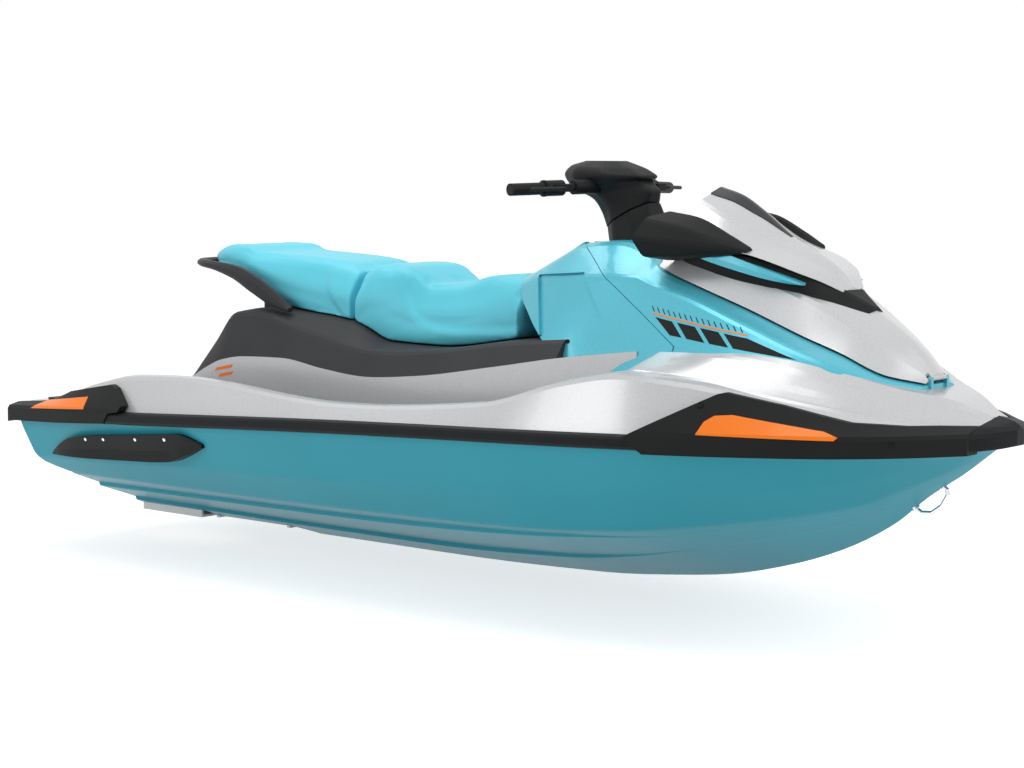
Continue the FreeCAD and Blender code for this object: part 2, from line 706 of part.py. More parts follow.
def shell_rib(x, outer, inner):
    """An open-bottomed section from the (y, z) points of its outer and inner half."""
    over = [drawn(x, y, z) for y, z in outer]
    under = [drawn(x, y, z) for y, z in inner]
    far_over = [V(p.x, -p.y, p.z) for p in reversed(over[:-1])]
    far_under = [V(p.x, -p.y, p.z) for p in under[:-1]]
    return over + far_over + far_under + under[::-1]


def hood():
    wall = HOOD_WALL
    ribs = []
    for x, seam_y, seam_z, shoulder_y, shoulder_z, crest_z in HOOD_LINES:
        ribs.append(shell_rib(x, [(seam_y, seam_z), (shoulder_y, shoulder_z), (0, crest_z)],
                              [(seam_y - wall, seam_z), (shoulder_y - wall, shoulder_z - wall),
                               (0, crest_z - 1.5 * wall)]))
    x, seam_y, seam_z, shoulder_y, shoulder_z, crest_z = read(HOOD_LINES, HOOD_LINES[0][0] + 6)
    half = wall / 2
    bulkhead = Part.Face(closed(rib(x, [
        (0, seam_z + 1), (seam_y - half, seam_z + 1), (shoulder_y - half, shoulder_z - half),
        (0, crest_z - half)]))).extrude(V(wall, 0, 0))
    body = skin(ribs, bends=[0, 9, 30, 9, 0, 0, 9, 30, 9, 0]).fuse(bulkhead)
    x, z = along(HOOD_HINGE[0]), HOOD_HINGE[1]
    x0, x1 = x - HINGE_RADIUS - PANEL_GAP, x + HINGE_RADIUS
    for side in (1, -1):
        y0, y1 = sorted((side * HINGE_HALF, side * (HINGE_REACH + EAR_SLOT)))
        body = body.cut(block(x0, x1, y0, y1, z - 50, z + 50))
    barrel = rod_y(HINGE_RADIUS, -HINGE_HALF, HINGE_HALF, x, z)
    return body.fuse(barrel).fuse(rod_y(HINGE_PIN, -HINGE_REACH, HINGE_REACH, x, z))


def cowl():
    body = skin([rib(x, [(0, foot_z), (foot_y, foot_z), (top_y, top_z), (0, top_z)])
                 for x, foot_y, foot_z, top_y, top_z in COWL_LINES], bends=both([0, 4, 8, 0]))
    return body.cut(hood_form())


def cowl_blade():
    """A coloured blade on the moulding's starboard side, under the visor."""
    return skin([side_rib(x, [(-half + 30, low), (-half, low + 2), (-half - 4, (low + high) / 2),
                              (-half, high - 2), (-half + 30, high)])
                 for x, low, high, half in BLADE_LINES])


def visor_form(raised=0.0):
    return skin([rib(x, [(0, foot_z - 25), (foot_y, foot_z + raised),
                         (shoulder_y, shoulder_z + raised), (0, ridge_z + raised)])
                 for x, foot_y, foot_z, shoulder_y, shoulder_z, ridge_z in VISOR_LINES],
                bends=both([0, 4, 8, 10]))


def visor_screen():
    """A dark screen along the visor's ridge."""
    plan = Part.Face(closed([drawn(x, y, 900) for x, y in SCREEN_PLAN])).extrude(V(0, 0, 300))
    return visor_form(SCREEN).common(plan)


def mirror_section(x, slant, pairs):
    return [V(along(x - slant * (y - 185)), -abeam(y), z) for y, z in pairs]


def mirror_housing():
    """The starboard mirror's housing, with a pocket for its glass."""
    ribs = [mirror_section(x, slant, list(zip(rest[::2], rest[1::2])))
            for x, slant, *rest in MIRROR_LINES]
    return skin(ribs, [row[0] for row in MIRROR_LINES], [0, 12, 10, 10, 10, 8])


def mirror_pane(front, back):
    """A slab in the mirror's opening, from one depth behind the face to another."""
    x, slant = MIRROR_LINES[0][:2]
    outline = Part.Face(closed(mirror_section(x + back, slant, MIRROR_GLASS)))
    return outline.extrude(V(front - back, 0, 0))


# ---------------------------------------------------------------- steering
def column(height, forward=0.0, y=0.0):
    """A point on the steering column's axis, or forward of it and square to it."""
    lean = radians(COLUMN_RAKE)
    return V(along(COLUMN_BASE[0]) - sin(lean) * height + cos(lean) * forward, y,
             COLUMN_BASE[1] + cos(lean) * height + sin(lean) * forward)


def column_rod(radius, low, high):
    start, end = column(low), column(high)
    return Part.makeCylinder(radius, high - low, start, end - start)


def steer_ring(aft, fore, half):
    """An eight-sided ring between two (x, z) places on the centre plane."""
    port = [V(along(aft[0] + (fore[0] - aft[0]) * share), half * wide,
              aft[1] + (fore[1] - aft[1]) * share)
            for share, wide in ((0, 0.5), (0.28, 1), (0.72, 1), (1, 0.5))]
    return port + [V(p.x, -p.y, p.z) for p in reversed(port)]


def joint_ring(height, forward0, forward1, half):
    """A ring square to the column, between two places forward of its axis."""
    a, b = column(height, forward0), column(height, forward1)
    scale = DRAWN_LENGTH / LENGTH
    return steer_ring((a.x * scale, a.z), (b.x * scale, b.z), half)


def column_cover():
    """The fixed shroud round the lower column."""
    body = skin([steer_ring(*COVER_BASE), joint_ring(*COVER_COLLAR),
                 joint_ring(COLUMN_JOINT - PANEL_GAP, *JOINT_EDGES)], [0, 50, 85],
                [RING_BEND] * 8)
    return body.cut(column_rod(COLUMN_RADIUS + COLUMN_PLAY, -COLUMN_DEPTH - 2, COLUMN_JOINT))


def bar_run(y):
    """A point on the bar's axis at a half breadth."""
    share = (y - BAR_ROOT) / (BAR_HALF - BAR_ROOT)
    return V(along(BAR_INNER[0] + share * (BAR_OUTER[0] - BAR_INNER[0])), y,
             BAR_INNER[1] + share * (BAR_OUTER[1] - BAR_INNER[1]))


def bar_rod(diameter, y0, y1):
    a, b = bar_run(y0), bar_run(y1)
    return Part.makeCylinder(diameter / 2, (b - a).Length, a, b - a)


def steering_neck():
    body = skin([joint_ring(COLUMN_JOINT, *JOINT_EDGES)]
                + [steer_ring(*ring) for ring in NECK_RINGS], [0, 40, 75, 112],
                [RING_BEND] * 8)
    arm = bar_rod(ARM_DIAMETER, 20, BAR_ROOT)
    return body.fuse(arm).fuse(mirrored(arm)).fuse(
        column_rod(COLUMN_RADIUS, -COLUMN_DEPTH, COLUMN_JOINT + 10))


def steering_pad():
    (x0, z0), (x1, z1), half = NECK_RINGS[-1]
    under = steer_ring((x0, z0 + SEAT_GAP), (x1, z1 + SEAT_GAP), half + PAD_LIP)
    return skin([under] + [steer_ring(*ring) for ring in PAD_RINGS], [0, 36, 60, 76],
                [PAD_BEND] * 8)


def handlebar():
    return pair(bar_rod(BAR_DIAMETER, BAR_ROOT, BAR_HALF).cut(steering_neck()))


def sleeve(outer, y0, y1):
    """A piece that slides over the bar."""
    return bar_rod(outer, y0, y1).cut(bar_rod(BAR_DIAMETER + 0.2, y0 - 1, y1 + 1))


def grips():
    y1 = BAR_HALF
    y0 = y1 - GRIP_LENGTH
    body = sleeve(GRIP_DIAMETER, y0, y1).fuse(sleeve(GRIP_FLANGE[0], y0, y0 + GRIP_FLANGE[1]))
    return pair(body)


def switch_housings():
    """The clamped housings inboard of the grips, with the levers' pivots."""
    y0, y1 = SWITCH_RUN
    inset, height = SWITCH_BRACKET
    axis = bar_run((y0 + y1) / 2)
    bracket = block(axis.x, axis.x + LEVER_SET, y0 + inset, y1 - inset, axis.z - height / 2,
                    axis.z + height / 2)
    body = bar_rod(SWITCH_DIAMETER, y0, y1).fuse(bracket)
    return pair(body.cut(bar_rod(BAR_DIAMETER + 0.2, y0 - 1, y1 + 1)))


def hand_levers():
    """A lever ahead of each grip."""
    pivot, bend, end = [bar_run(y) for y in LEVER_RUN]
    ahead, bulge = V(LEVER_SET, 0, 0), V(LEVER_BULGE, 0, 0)
    points = [pivot + ahead - bulge, bend + ahead + bulge, end + ahead]
    return pair(tube(points, LEVER_DIAMETER / 2).cut(switch_housings()))


# ---------------------------------------------------------------- jet drive
def blade(x0, x1, root, tip, turn, thickness):
    """One blade between two radii, turning by an angle as it runs from x0 to x1."""
    wires = []
    count = 5
    for i in range(count):
        share = i / (count - 1)
        angle = radians(turn * share)
        out = V(0, cos(angle), sin(angle))
        across = V(0, -sin(angle), cos(angle)) * (thickness / 2)
        centre = V(x0 + share * (x1 - x0), 0, PUMP_AXIS_Z)
        wires.append([centre + out * root + across, centre + out * tip + across,
                      centre + out * tip - across, centre + out * root - across])
    return loft(wires)


def turned(shape, degrees):
    copy = shape.copy()
    copy.rotate(V(0, 0, PUMP_AXIS_Z), V(1, 0, 0), degrees)
    return copy


def impeller():
    tip = PUMP_BORE / 2 - TIP_CLEARANCE
    body = rod_x(HUB_RADIUS, IMPELLER_X0, IMPELLER_X1 - 15, PUMP_AXIS_Z)
    body = body.fuse(cone_x(HUB_RADIUS, SHAFT_RADIUS, IMPELLER_X1 - 15, IMPELLER_X1 + 20,
                            PUMP_AXIS_Z))
    body = body.fuse(rod_x(SHAFT_RADIUS, IMPELLER_X1, along(ENGINE_X) - SEAT_GAP, PUMP_AXIS_Z))
    for i in range(BLADES):
        one = blade(IMPELLER_X0 + 5, IMPELLER_X1 - 12, HUB_RADIUS - 3, tip, 70, 4)
        body = body.fuse(turned(one, i * 360 / BLADES))
    return body


def revolved(profile):
    """A solid turned about the pump's axis from (x, radius) points."""
    face = Part.Face(closed([V(x, 0, PUMP_AXIS_Z + r) for x, r in profile]))
    return face.revolve(V(0, 0, PUMP_AXIS_Z), V(1, 0, 0), 360)


def pump_housing():
    bore = PUMP_BORE / 2
    outer = bore + PUMP_WALL
    mouth = NOZZLE_BORE / 2
    body = revolved([(PUMP_FRONT_X, bore), (300, bore), (PUMP_REAR_X, mouth),
                     (PUMP_REAR_X, mouth + 9), (300, outer), (PUMP_FRONT_X, outer)])
    flange = block(PUMP_FRONT_X - 12, PUMP_FRONT_X, -TUNNEL_HALF, TUNNEL_HALF,
                   PUMP_AXIS_Z - outer + 4, TUNNEL_TOP)
    flange = flange.cut(rod_x(bore + 4, PUMP_FRONT_X - 20, PUMP_FRONT_X + 1, PUMP_AXIS_Z))
    hub = revolved([(IMPELLER_X0 - SEAT_GAP, 0), (IMPELLER_X0 - SEAT_GAP, HUB_RADIUS),
                    (320, HUB_RADIUS), (235, 8), (235, 0)])
    body = body.fuse(flange).fuse(hub)
    for i in range(VANES):
        vane = blade(312, 380, HUB_RADIUS - 4, bore + 5, -28, 5)
        body = body.fuse(turned(vane, i * 360 / VANES))
    for ear in pivot_ears():
        body = body.fuse(ear)
    return body


def boss_reach():
    """How far the nozzle's pivot bosses stand from the pump's axis."""
    return NOZZLE_BORE / 2 + 4 + NOZZLE_WALL + 7


def pivot_ears():
    """The pump's two arms that hold the steering nozzle's bosses, above and below."""
    x0, x1 = NOZZLE_PIVOT_X - BOSS_RADIUS, PUMP_REAR_X + 30
    low = boss_reach() + EAR_GAP
    mouth = NOZZLE_BORE / 2
    for side in (1, -1):
        z0, z1 = sorted((PUMP_AXIS_Z + side * low, PUMP_AXIS_Z + side * (low + EAR_THICKNESS)))
        arm = block(x0, x1, -BOSS_RADIUS, BOSS_RADIUS, z0, z1)
        f0, f1 = sorted((PUMP_AXIS_Z + side * (mouth + 4), PUMP_AXIS_Z + side * (low + 4)))
        foot = block(PUMP_REAR_X, x1, -BOSS_RADIUS, BOSS_RADIUS, f0, f1)
        hole = Part.makeCylinder(PIVOT_RADIUS + 0.1, EAR_THICKNESS + 2,
                                 V(NOZZLE_PIVOT_X, 0, z0 - 1))
        yield arm.cut(hole).fuse(foot)


def steering_nozzle():
    r0 = NOZZLE_EXIT / 2
    r1 = NOZZLE_BORE / 2 + 4
    x0, x1 = NOZZLE_X
    body = revolved([(x0, r0), (x1, r1), (x1, r1 + NOZZLE_WALL), (x0, r0 + NOZZLE_WALL)])
    reach = boss_reach()
    boss = Part.makeCylinder(BOSS_RADIUS, 2 * reach,
                             V(NOZZLE_PIVOT_X, 0, PUMP_AXIS_Z - reach))
    pin = Part.makeCylinder(PIVOT_RADIUS, 2 * (reach + EAR_GAP + EAR_THICKNESS),
                            V(NOZZLE_PIVOT_X, 0, PUMP_AXIS_Z - reach - EAR_GAP - EAR_THICKNESS))
    half = BUCKET_HALF - BUCKET_WALL - EAR_GAP
    side_boss = rod_y(12, -half, half, BUCKET_PIVOT_X, PUMP_AXIS_Z)
    side_pin = rod_y(PIVOT_RADIUS, -BUCKET_HALF, BUCKET_HALF, BUCKET_PIVOT_X, PUMP_AXIS_Z)
    hollow = revolved([(x0 - 1, 0), (x0 - 1, r0), (x1 + 1, r1), (x1 + 1, 0)])
    return body.fuse(boss).fuse(pin).fuse(side_boss).fuse(side_pin).cut(hollow)


def reverse_bucket():
    """A scoop that is parked over the nozzle and swings down behind its mouth."""
    outer = BUCKET_RADIUS + BUCKET_WALL
    centre = (BUCKET_PIVOT_X, PUMP_AXIS_Z)
    shell = rod_y(outer, -BUCKET_HALF, BUCKET_HALF, *centre)
    inside = BUCKET_HALF - BUCKET_WALL
    shell = shell.cut(rod_y(BUCKET_RADIUS, -inside, inside, *centre))
    corners = [(BUCKET_PIVOT_X + r * cos(radians(a)), PUMP_AXIS_Z + r * sin(radians(a)))
               for r, a in ((20, 285), (170, 70), (200, 108), (170, 150))]
    sector = Part.Face(closed([V(x, -BUCKET_HALF - 1, z) for x, z in corners]))
    scoop = shell.common(sector.extrude(V(0, 2 * BUCKET_HALF + 2, 0)))
    return scoop.cut(rod_y(PIVOT_RADIUS + 0.1, -BUCKET_HALF - 1, BUCKET_HALF + 1, *centre))


# ---------------------------------------------------------------- skins on the side
def turn_in(x):
    """How much breadth a thickness takes where the side turns in to the bow."""
    x = min(x, DECK_LINES[-1][0] - 1)
    slope = read(DECK_LINES, x + 1)[1] - read(DECK_LINES, x)[1]
    return (1 + slope ** 2) ** 0.5


def side_band(proud, inside):
    """A band that hugs the starboard side from under the rail to the crest."""
    ribs = []
    for x, gunwale_y, gunwale_z, cap, crest_y, crest_z, *rest in DECK_LINES:
        low, mid, top = gunwale_z - 60, gunwale_z + 24, crest_z + 4
        out = gunwale_y + proud * turn_in(x)
        ribs.append(side_rib(x, [
            (-(gunwale_y - inside - 8), low), (-out, low), (-out, mid),
            (-(crest_y + proud * 0.4), top), (-(crest_y - inside), top),
            (-(gunwale_y - inside), mid)]))
    return skin(ribs, bends=[0, 5, 8, 0, 0, 0])


def rub_rail():
    half = RAIL_HEIGHT / 2
    ribs = []
    for row in DECK_LINES:
        x, y, z = row[0], -row[1] - SEAT_GAP, row[2]
        out = y - RAIL_WIDTH * turn_in(x)
        ribs.append(side_rib(x, [(y, z - half), (out, z - half * 0.7), (out, z + half * 0.7),
                                 (y, z + half)]))
    return skin(ribs, bends=[0, 5, 5, 0])


def bow_bumper():
    """The block that closes the rails round the bow."""
    return skin([rib(x, [(0, low), (half, low), (half, high), (half * 0.7, (high + top) / 2),
                         (0, top)])
                 for x, half, low, high, top in BUMPER_LINES], bends=both([0, 5, 8, 8, 0]))


def guard(outline):
    plate = side_plate(outline, -abeam(700), 0)
    return side_band(RAIL_WIDTH + GUARD_PROUD, 6).common(plate)


def guard_insert(outline):
    """A coloured panel, let into a guard's face by its thickness."""
    plate = side_plate(outline, -abeam(700), 0)
    proud = RAIL_WIDTH + GUARD_PROUD
    return side_band(proud + 1.5, 6).common(plate).cut(side_band(proud - 3, 6))


# ---------------------------------------------------------------- small fixed pieces
# x, lower z, upper z, how far it stands out
SPONSON_LINES = [
    (176, 246, 256, 14), (240, 250, 288, 32), (330, 252, 318, 42), (560, 263, 343, 44),
    (800, 279, 365, 40),
    (870, 300, 372, 34), (959, 336, 348, 16),
]


def sponson():
    ribs = []
    for x, low, high, proud in SPONSON_LINES:
        inner_low, inner_high = side_breadth(x, low), side_breadth(x, high)
        ribs.append(side_rib(x, [
            (-inner_low - SEAT_GAP, low), (-inner_high - SEAT_GAP, high),
            (-inner_high - proud * 0.5, high), (-inner_low - proud, low + (high - low) * 0.4),
            (-inner_low - proud, low)]))
    return skin(ribs)


def ride_plate():
    x0, x1, low, high = RIDE_PLATE
    half = TUNNEL_HALF - SEAT_GAP
    inner = half - RIDE_PLATE_WALL
    plate = block(x0, x1, -half, half, low, high)
    return plate.cut(block(x0 - 1, x1 + 1, -inner, inner, low + RIDE_PLATE_WALL, high + 1))


def intake_grate():
    """Four bars under the intake duct, tied at both ends."""
    x1, low, high = GRATE
    half, tie = DUCT_HALF - SEAT_GAP, 14
    body = block(PUMP_FRONT_X, PUMP_FRONT_X + tie, -half, half, low, high)
    body = body.fuse(block(x1 - tie, x1, -half, half, low, high))
    for i in range(4):
        y = (i - 1.5) * GRATE_PITCH
        body = body.fuse(block(PUMP_FRONT_X, x1, y - GRATE_BAR / 2, y + GRATE_BAR / 2, low, high))
    return body


def grab_handle():
    """A moulded rail from one side of the rear seat, behind it, to the other side."""
    port = [(drawn(x, y, z), wide, high) for x, y, z, wide, high in GRAB_LINES]
    rows = port + [(V(p.x, -p.y, p.z), wide, high) for p, wide, high in reversed(port)]
    points = [row[0] for row in rows]
    ribs, stations = [], [0.0]
    for i, (point, wide, high) in enumerate(rows):
        ahead, behind = points[min(i + 1, len(rows) - 1)], points[max(i - 1, 0)]
        out = (ahead - behind).cross(V(0, 0, 1)).normalize()
        up = out.cross(ahead - behind).normalize()
        if i:
            stations.append(stations[-1] + (point - points[i - 1]).Length)
        ribs.append([point + out * (a * wide) + up * (b * high) for a, b in
                     ((1, 0.4), (0.5, 1), (-0.5, 1), (-1, 0.4), (-1, -0.4), (-0.5, -1),
                      (0.5, -1), (1, -0.4))])
    return skin(ribs, stations)


def bow_storage_bin():
    x0, x1 = along(BIN_FROM), along(BIN_TO)
    half = abeam(BIN_HALF)
    gap = SEAT_GAP
    outer = block(x0 + gap, x1 - gap, -half + gap, half - gap, BIN_FLOOR, BIN_RIM)
    inner = block(x0 + BIN_WALL, x1 - BIN_WALL, -half + BIN_WALL, half - BIN_WALL,
                  BIN_FLOOR + BIN_WALL, BIN_RIM + 10)
    return outer.cut(inner)


def footwell_mat():
    ribs = []
    for row in DECK_LINES[3:8]:
        x, out_y, out_z, in_y, in_z = row[0], *row[7:11]
        low, high = SEAT_GAP, SEAT_GAP + MAT
        ribs.append(side_rib(x, [(-(out_y - 30), out_z + low), (-(in_y + 16), in_z + low),
                                 (-(in_y + 16), in_z + high), (-(out_y - 30), out_z + high)]))
    return skin(ribs)


def swim_mat():
    x0, x1, half = SWIM_MAT
    floor = DECK_LINES[0][-1]
    return block(along(x0), along(x1), -abeam(half), abeam(half), floor - 4, floor + MAT)


def bow_eye():
    """A bar bent into a loop on the stem, with a collar at each end."""
    bend = [V(along(x), 0, z) for x, z in BOW_EYE]
    body = tube(bend, BOW_EYE_WIRE / 2)
    for end, inward in ((bend[0], bend[1]), (bend[-1], bend[-2])):
        run = (inward - end).normalize()
        body = body.fuse(Part.makeCylinder(BOW_EYE_WIRE, 34, end, run))
    return body


# ---------------------------------------------------------------- write
def without(shape, *others):
    """A shape with the space of its neighbours taken out, so that it lands on them."""
    for other in others:
        shape = shape.cut(other)
    return shape


def build():
    nodes = {}
    nodes["hull"] = base = hull()
    nodes["deck"] = top = deck()
    nodes["seat_pedestal"] = pedestal = without(seat_pedestal(), top)
    nodes["seat_base_trim"] = trim = without(seat_base_trim(), top, pedestal)
    nodes["console"] = dash = without(console(), top, pedestal, trim)
    nodes["front_fairing"] = fairing = without(front_fairing(), top, pedestal)
    nodes["grab_handle"] = handle = without(grab_handle(), trim)
    nodes["passenger_seat"] = without(cushion(PASSENGER_SEAT), trim, handle)
    nodes["rider_seat"] = without(cushion(RIDER_SEAT), trim, dash)
    nodes["glovebox_bin"] = glovebox_bin()
    nodes["glovebox_lid"] = glovebox_lid()
    rear_insert, front_insert = guard_insert(REAR_INSERT), guard_insert(FRONT_INSERT)
    rear = without(guard(REAR_GUARD), base, top, rear_insert)
    front = without(guard(FRONT_GUARD), base, top, front_insert)
    nodes["rub_rail"] = pair(without(rub_rail(), rear, front))
    nodes["bow_bumper"] = bow_bumper()
    nodes["rear_guards"] = pair(rear)
    nodes["front_guards"] = pair(front)
    nodes["guard_inserts"] = Part.makeCompound(
        [side for one in (rear_insert, front_insert) for side in pair(one).Solids])
    nodes["hood"] = hood()
    nodes["cowl"] = moulding = cowl()
    nodes["visor"] = shield = without(visor_form(), hood_form(), moulding)
    nodes["visor_screen"] = without(visor_screen(), visor_form())
    pocket, glass = mirror_pane(-80, 6), mirror_pane(6 - GLASS, 6)
    housing = without(mirror_housing(), pocket, moulding, shield, hood_form())
    nodes["mirror_housings"] = pair(housing)
    nodes["mirror_glass"] = pair(without(glass, moulding, shield))
    nodes["cowl_blades"] = pair(without(cowl_blade(), moulding, shield, housing))
    nodes["gauge_display"] = without(gauge_display(), fairing, moulding, hood_form())
    nodes["column_cover"] = without(column_cover(), fairing, dash)
    nodes["steering_neck"] = neck = steering_neck()
    nodes["steering_pad"] = without(steering_pad(), neck)
    nodes["handlebar"] = handlebar()
    nodes["grips"] = grips()
    nodes["switch_housings"] = switch_housings()
    nodes["hand_levers"] = hand_levers()
    nodes["impeller"] = impeller()
    nodes["pump_housing"] = pump_housing()
    nodes["steering_nozzle"] = steering_nozzle()
    nodes["reverse_bucket"] = reverse_bucket()
    nodes["sponsons"] = pair(sponson())
    nodes["ride_plate"] = ride_plate()
    nodes["intake_grate"] = intake_grate()
    nodes["bow_storage_bin"] = bow_storage_bin()
    nodes["footwell_mats"] = pair(footwell_mat())
    nodes["swim_mat"] = without(swim_mat(), top)
    nodes["bow_eye"] = without(bow_eye(), base)
    x0 = along(ENGINE_X)
    nodes["engine"] = block(x0, x0 + ENGINE[0], -ENGINE[1] / 2, ENGINE[1] / 2, ENGINE_Z,
                            ENGINE_Z + ENGINE[2])
    return nodes


def write(nodes):
    os.makedirs("parts", exist_ok=True)
    for name, shape in nodes.items():
        shape.translate(V(-along(ORIGIN_X), 0, -WATERLINE_Z))
        shape.exportStep("parts/" + name + ".step")


write(build())
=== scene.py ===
# %% [markdown]
# # A three-seat personal watercraft
#
# This file dresses a finished CAD model of a jet-drive watercraft. The model brings every
# rigid piece at its real size, so most of the work here is finish: paint, textured
# plastic, rubber, cast metal and vinyl. The seats, the film graphics and the screws are
# made here, because a soft or very fine form is easier to model as a mesh. Read the cells
# in order, because each one uses names from those above it.

# %% Load the model
import bpy
import bmesh
import json
from math import cos, radians, sin
from mathutils import Matrix, Vector
from mathutils.bvhtree import BVHTree


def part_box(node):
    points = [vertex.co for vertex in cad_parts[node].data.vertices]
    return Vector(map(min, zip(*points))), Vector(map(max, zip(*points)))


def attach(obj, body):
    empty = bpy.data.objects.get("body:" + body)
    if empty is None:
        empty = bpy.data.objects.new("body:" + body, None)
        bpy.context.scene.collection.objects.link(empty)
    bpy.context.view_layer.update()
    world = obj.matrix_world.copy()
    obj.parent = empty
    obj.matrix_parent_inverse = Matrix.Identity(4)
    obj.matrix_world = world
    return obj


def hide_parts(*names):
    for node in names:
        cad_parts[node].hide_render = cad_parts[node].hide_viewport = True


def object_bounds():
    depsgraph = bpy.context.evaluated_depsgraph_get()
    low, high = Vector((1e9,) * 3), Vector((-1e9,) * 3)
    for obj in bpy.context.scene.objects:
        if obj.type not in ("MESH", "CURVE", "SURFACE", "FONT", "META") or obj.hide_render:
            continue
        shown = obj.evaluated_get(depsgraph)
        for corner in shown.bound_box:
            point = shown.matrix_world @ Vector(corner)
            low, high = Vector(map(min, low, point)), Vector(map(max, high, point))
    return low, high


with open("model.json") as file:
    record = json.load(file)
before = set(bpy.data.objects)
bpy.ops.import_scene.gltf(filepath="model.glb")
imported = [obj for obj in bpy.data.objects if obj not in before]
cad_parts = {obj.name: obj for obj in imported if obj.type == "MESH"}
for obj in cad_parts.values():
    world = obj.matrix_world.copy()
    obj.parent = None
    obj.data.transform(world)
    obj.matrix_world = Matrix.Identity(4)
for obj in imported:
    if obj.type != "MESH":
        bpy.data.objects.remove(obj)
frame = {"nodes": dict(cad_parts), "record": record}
nodes = frame["nodes"]
cad_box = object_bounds()
print("CAD box:", [[round(c, 3) for c in corner] for corner in cad_box])

# %% [markdown]
# ## Camera
#
# A boat looks right through a long lens from well back, because up close its bow swells.
# The camera looks at a point near the middle of the craft from ahead of the starboard
# beam, a little above it. It could be placed by hand, but working it out from an azimuth,
# an elevation and a distance makes each of the three easy to change.

# %% The camera
AZIMUTH, ELEVATION = radians(40.0), radians(5.67)
DISTANCE = 6.5
LENS = 77.34                                # millimetres, on a sensor 36 mm wide
AIM = Vector((0.205, 0.0, 0.250))

out = Vector((sin(AZIMUTH) * cos(ELEVATION), -cos(AZIMUTH) * cos(ELEVATION), sin(ELEVATION)))
camera_data = bpy.data.cameras.new("camera")
camera_data.lens = LENS
camera = bpy.data.objects.new("camera", camera_data)
camera.location = AIM + out * DISTANCE
camera.rotation_euler = (-out).to_track_quat("-Z", "Y").to_euler()
bpy.context.scene.collection.objects.link(camera)
bpy.context.scene.camera = camera
bpy.context.scene.view_settings.view_transform = "Standard"
print("camera at", [round(c, 3) for c in camera.location])

# %% [markdown]
# ## Making materials
#
# A material is a small network of nodes. Writing it out node by node is long, so one
# helper adds a node, sets its options and fills its inputs. An input may be a number, a
# colour, or another node's output, which is then wired in. Every pattern here reads object
# coordinates, so it stays on the piece from every side.

# %% A helper for nodes
def node(owner, kind, inputs=None, **options):
    """Adds a node. Inputs are numbers, colours or other nodes' outputs."""
    tree = owner.node_tree
    made = tree.nodes.new(kind)
    for name, value in options.items():
        setattr(made, name, value)
    for name, value in (inputs or {}).items():
        if isinstance(value, bpy.types.NodeSocket):
            tree.links.new(value, made.inputs[name])
        else:
            made.inputs[name].default_value = value
    return made


FINISH = {}                                 # the finish of each material slot
COLOR_A, COLOR_B, COLOR_OUT = 6, 7, 2       # the colour sockets of a Mix node


def finish(name, color, roughness, **sockets):
    """A new material for a slot, its shader and its object coordinates."""
    material = FINISH[name] = bpy.data.materials.new(name)
    material.use_nodes = True
    shader = material.node_tree.nodes["Principled BSDF"]
    shader.inputs["Base Color"].default_value = (*color, 1.0)
    shader.inputs["Roughness"].default_value = roughness
    for socket, value in sockets.items():
        shader.inputs[socket.replace("_", " ")].default_value = value
    place = node(material, "ShaderNodeTexCoord").outputs["Object"]
    return material, shader, place


def noise(material, place, scale, detail=3.0):
    """Soft random patches. A larger scale gives smaller patches."""
    return node(material, "ShaderNodeTexNoise",
                {"Vector": place, "Scale": scale, "Detail": detail}).outputs["Fac"]


def tint(material, shader, factor, dark, light):
    """Lets a pattern shift the base colour between two close colours."""
    mix = node(material, "ShaderNodeMix", {0: factor}, data_type="RGBA")
    mix.inputs[COLOR_A].default_value = (*dark, 1.0)
    mix.inputs[COLOR_B].default_value = (*light, 1.0)
    material.node_tree.links.new(mix.outputs[COLOR_OUT], shader.inputs["Base Color"])


def wear(material, shader, factor, low, high):
    """Lets a pattern shift the roughness between two values."""
    spread = node(material, "ShaderNodeMapRange",
                  {"Value": factor, "To Min": low, "To Max": high})
    material.node_tree.links.new(spread.outputs[0], shader.inputs["Roughness"])


def bump(material, shader, height, strength, depth):
    """Turns a pattern into a fine relief, with its depth in metres."""
    relief = node(material, "ShaderNodeBump",
                  {"Height": height, "Strength": strength, "Distance": depth})
    material.node_tree.links.new(relief.outputs["Normal"], shader.inputs["Normal"])


def shade(color, factor):
    """The same colour, darker or lighter."""
    return tuple(c * factor for c in color)


print("helpers ready, with", len(FINISH), "finishes so far")


# %% [markdown]
# ## Painted and moulded finishes
#
# The hull is gelcoat: an even teal under a clear gloss, with the faint waviness of a
# moulded skin. The deck and hood are a silver with fine metal flake, and the panels beside
# the rider are a brighter teal with the same flake. A flat colour would do from far off,
# but close by it looks like a toy. So flake is cells of random brightness, a millimetre or
# so across, that barely change the colour and the roughness.

# %% Gelcoat and flake paint
def gelcoat(name, color):
    """Smooth coloured gelcoat, a little uneven in tone and in surface."""
    material, shader, place = finish(name, color, 0.36, Coat_Weight=0.05, Coat_Roughness=0.1,
                                     Specular_IOR_Level=0.12)
    tint(material, shader, noise(material, place, 3.0), shade(color, 0.94), shade(color, 1.06))
    bump(material, shader, noise(material, place, 26.0, 1.0), 0.12, 0.0006)


def flake_paint(name, color, metallic):
    """Paint with fine metal flake under a clear coat."""
    material, shader, place = finish(name, color, 0.3, Metallic=metallic, Coat_Weight=0.35,
                                     Coat_Roughness=0.06, Specular_IOR_Level=0.4)
    flakes = node(material, "ShaderNodeTexVoronoi", {"Vector": place, "Scale": 900.0})
    glint = flakes.outputs["Color"]
    tint(material, shader, glint, shade(color, 0.93), shade(color, 1.05))
    wear(material, shader, glint, 0.26, 0.36)
    bump(material, shader, noise(material, place, 30.0, 1.0), 0.08, 0.0005)


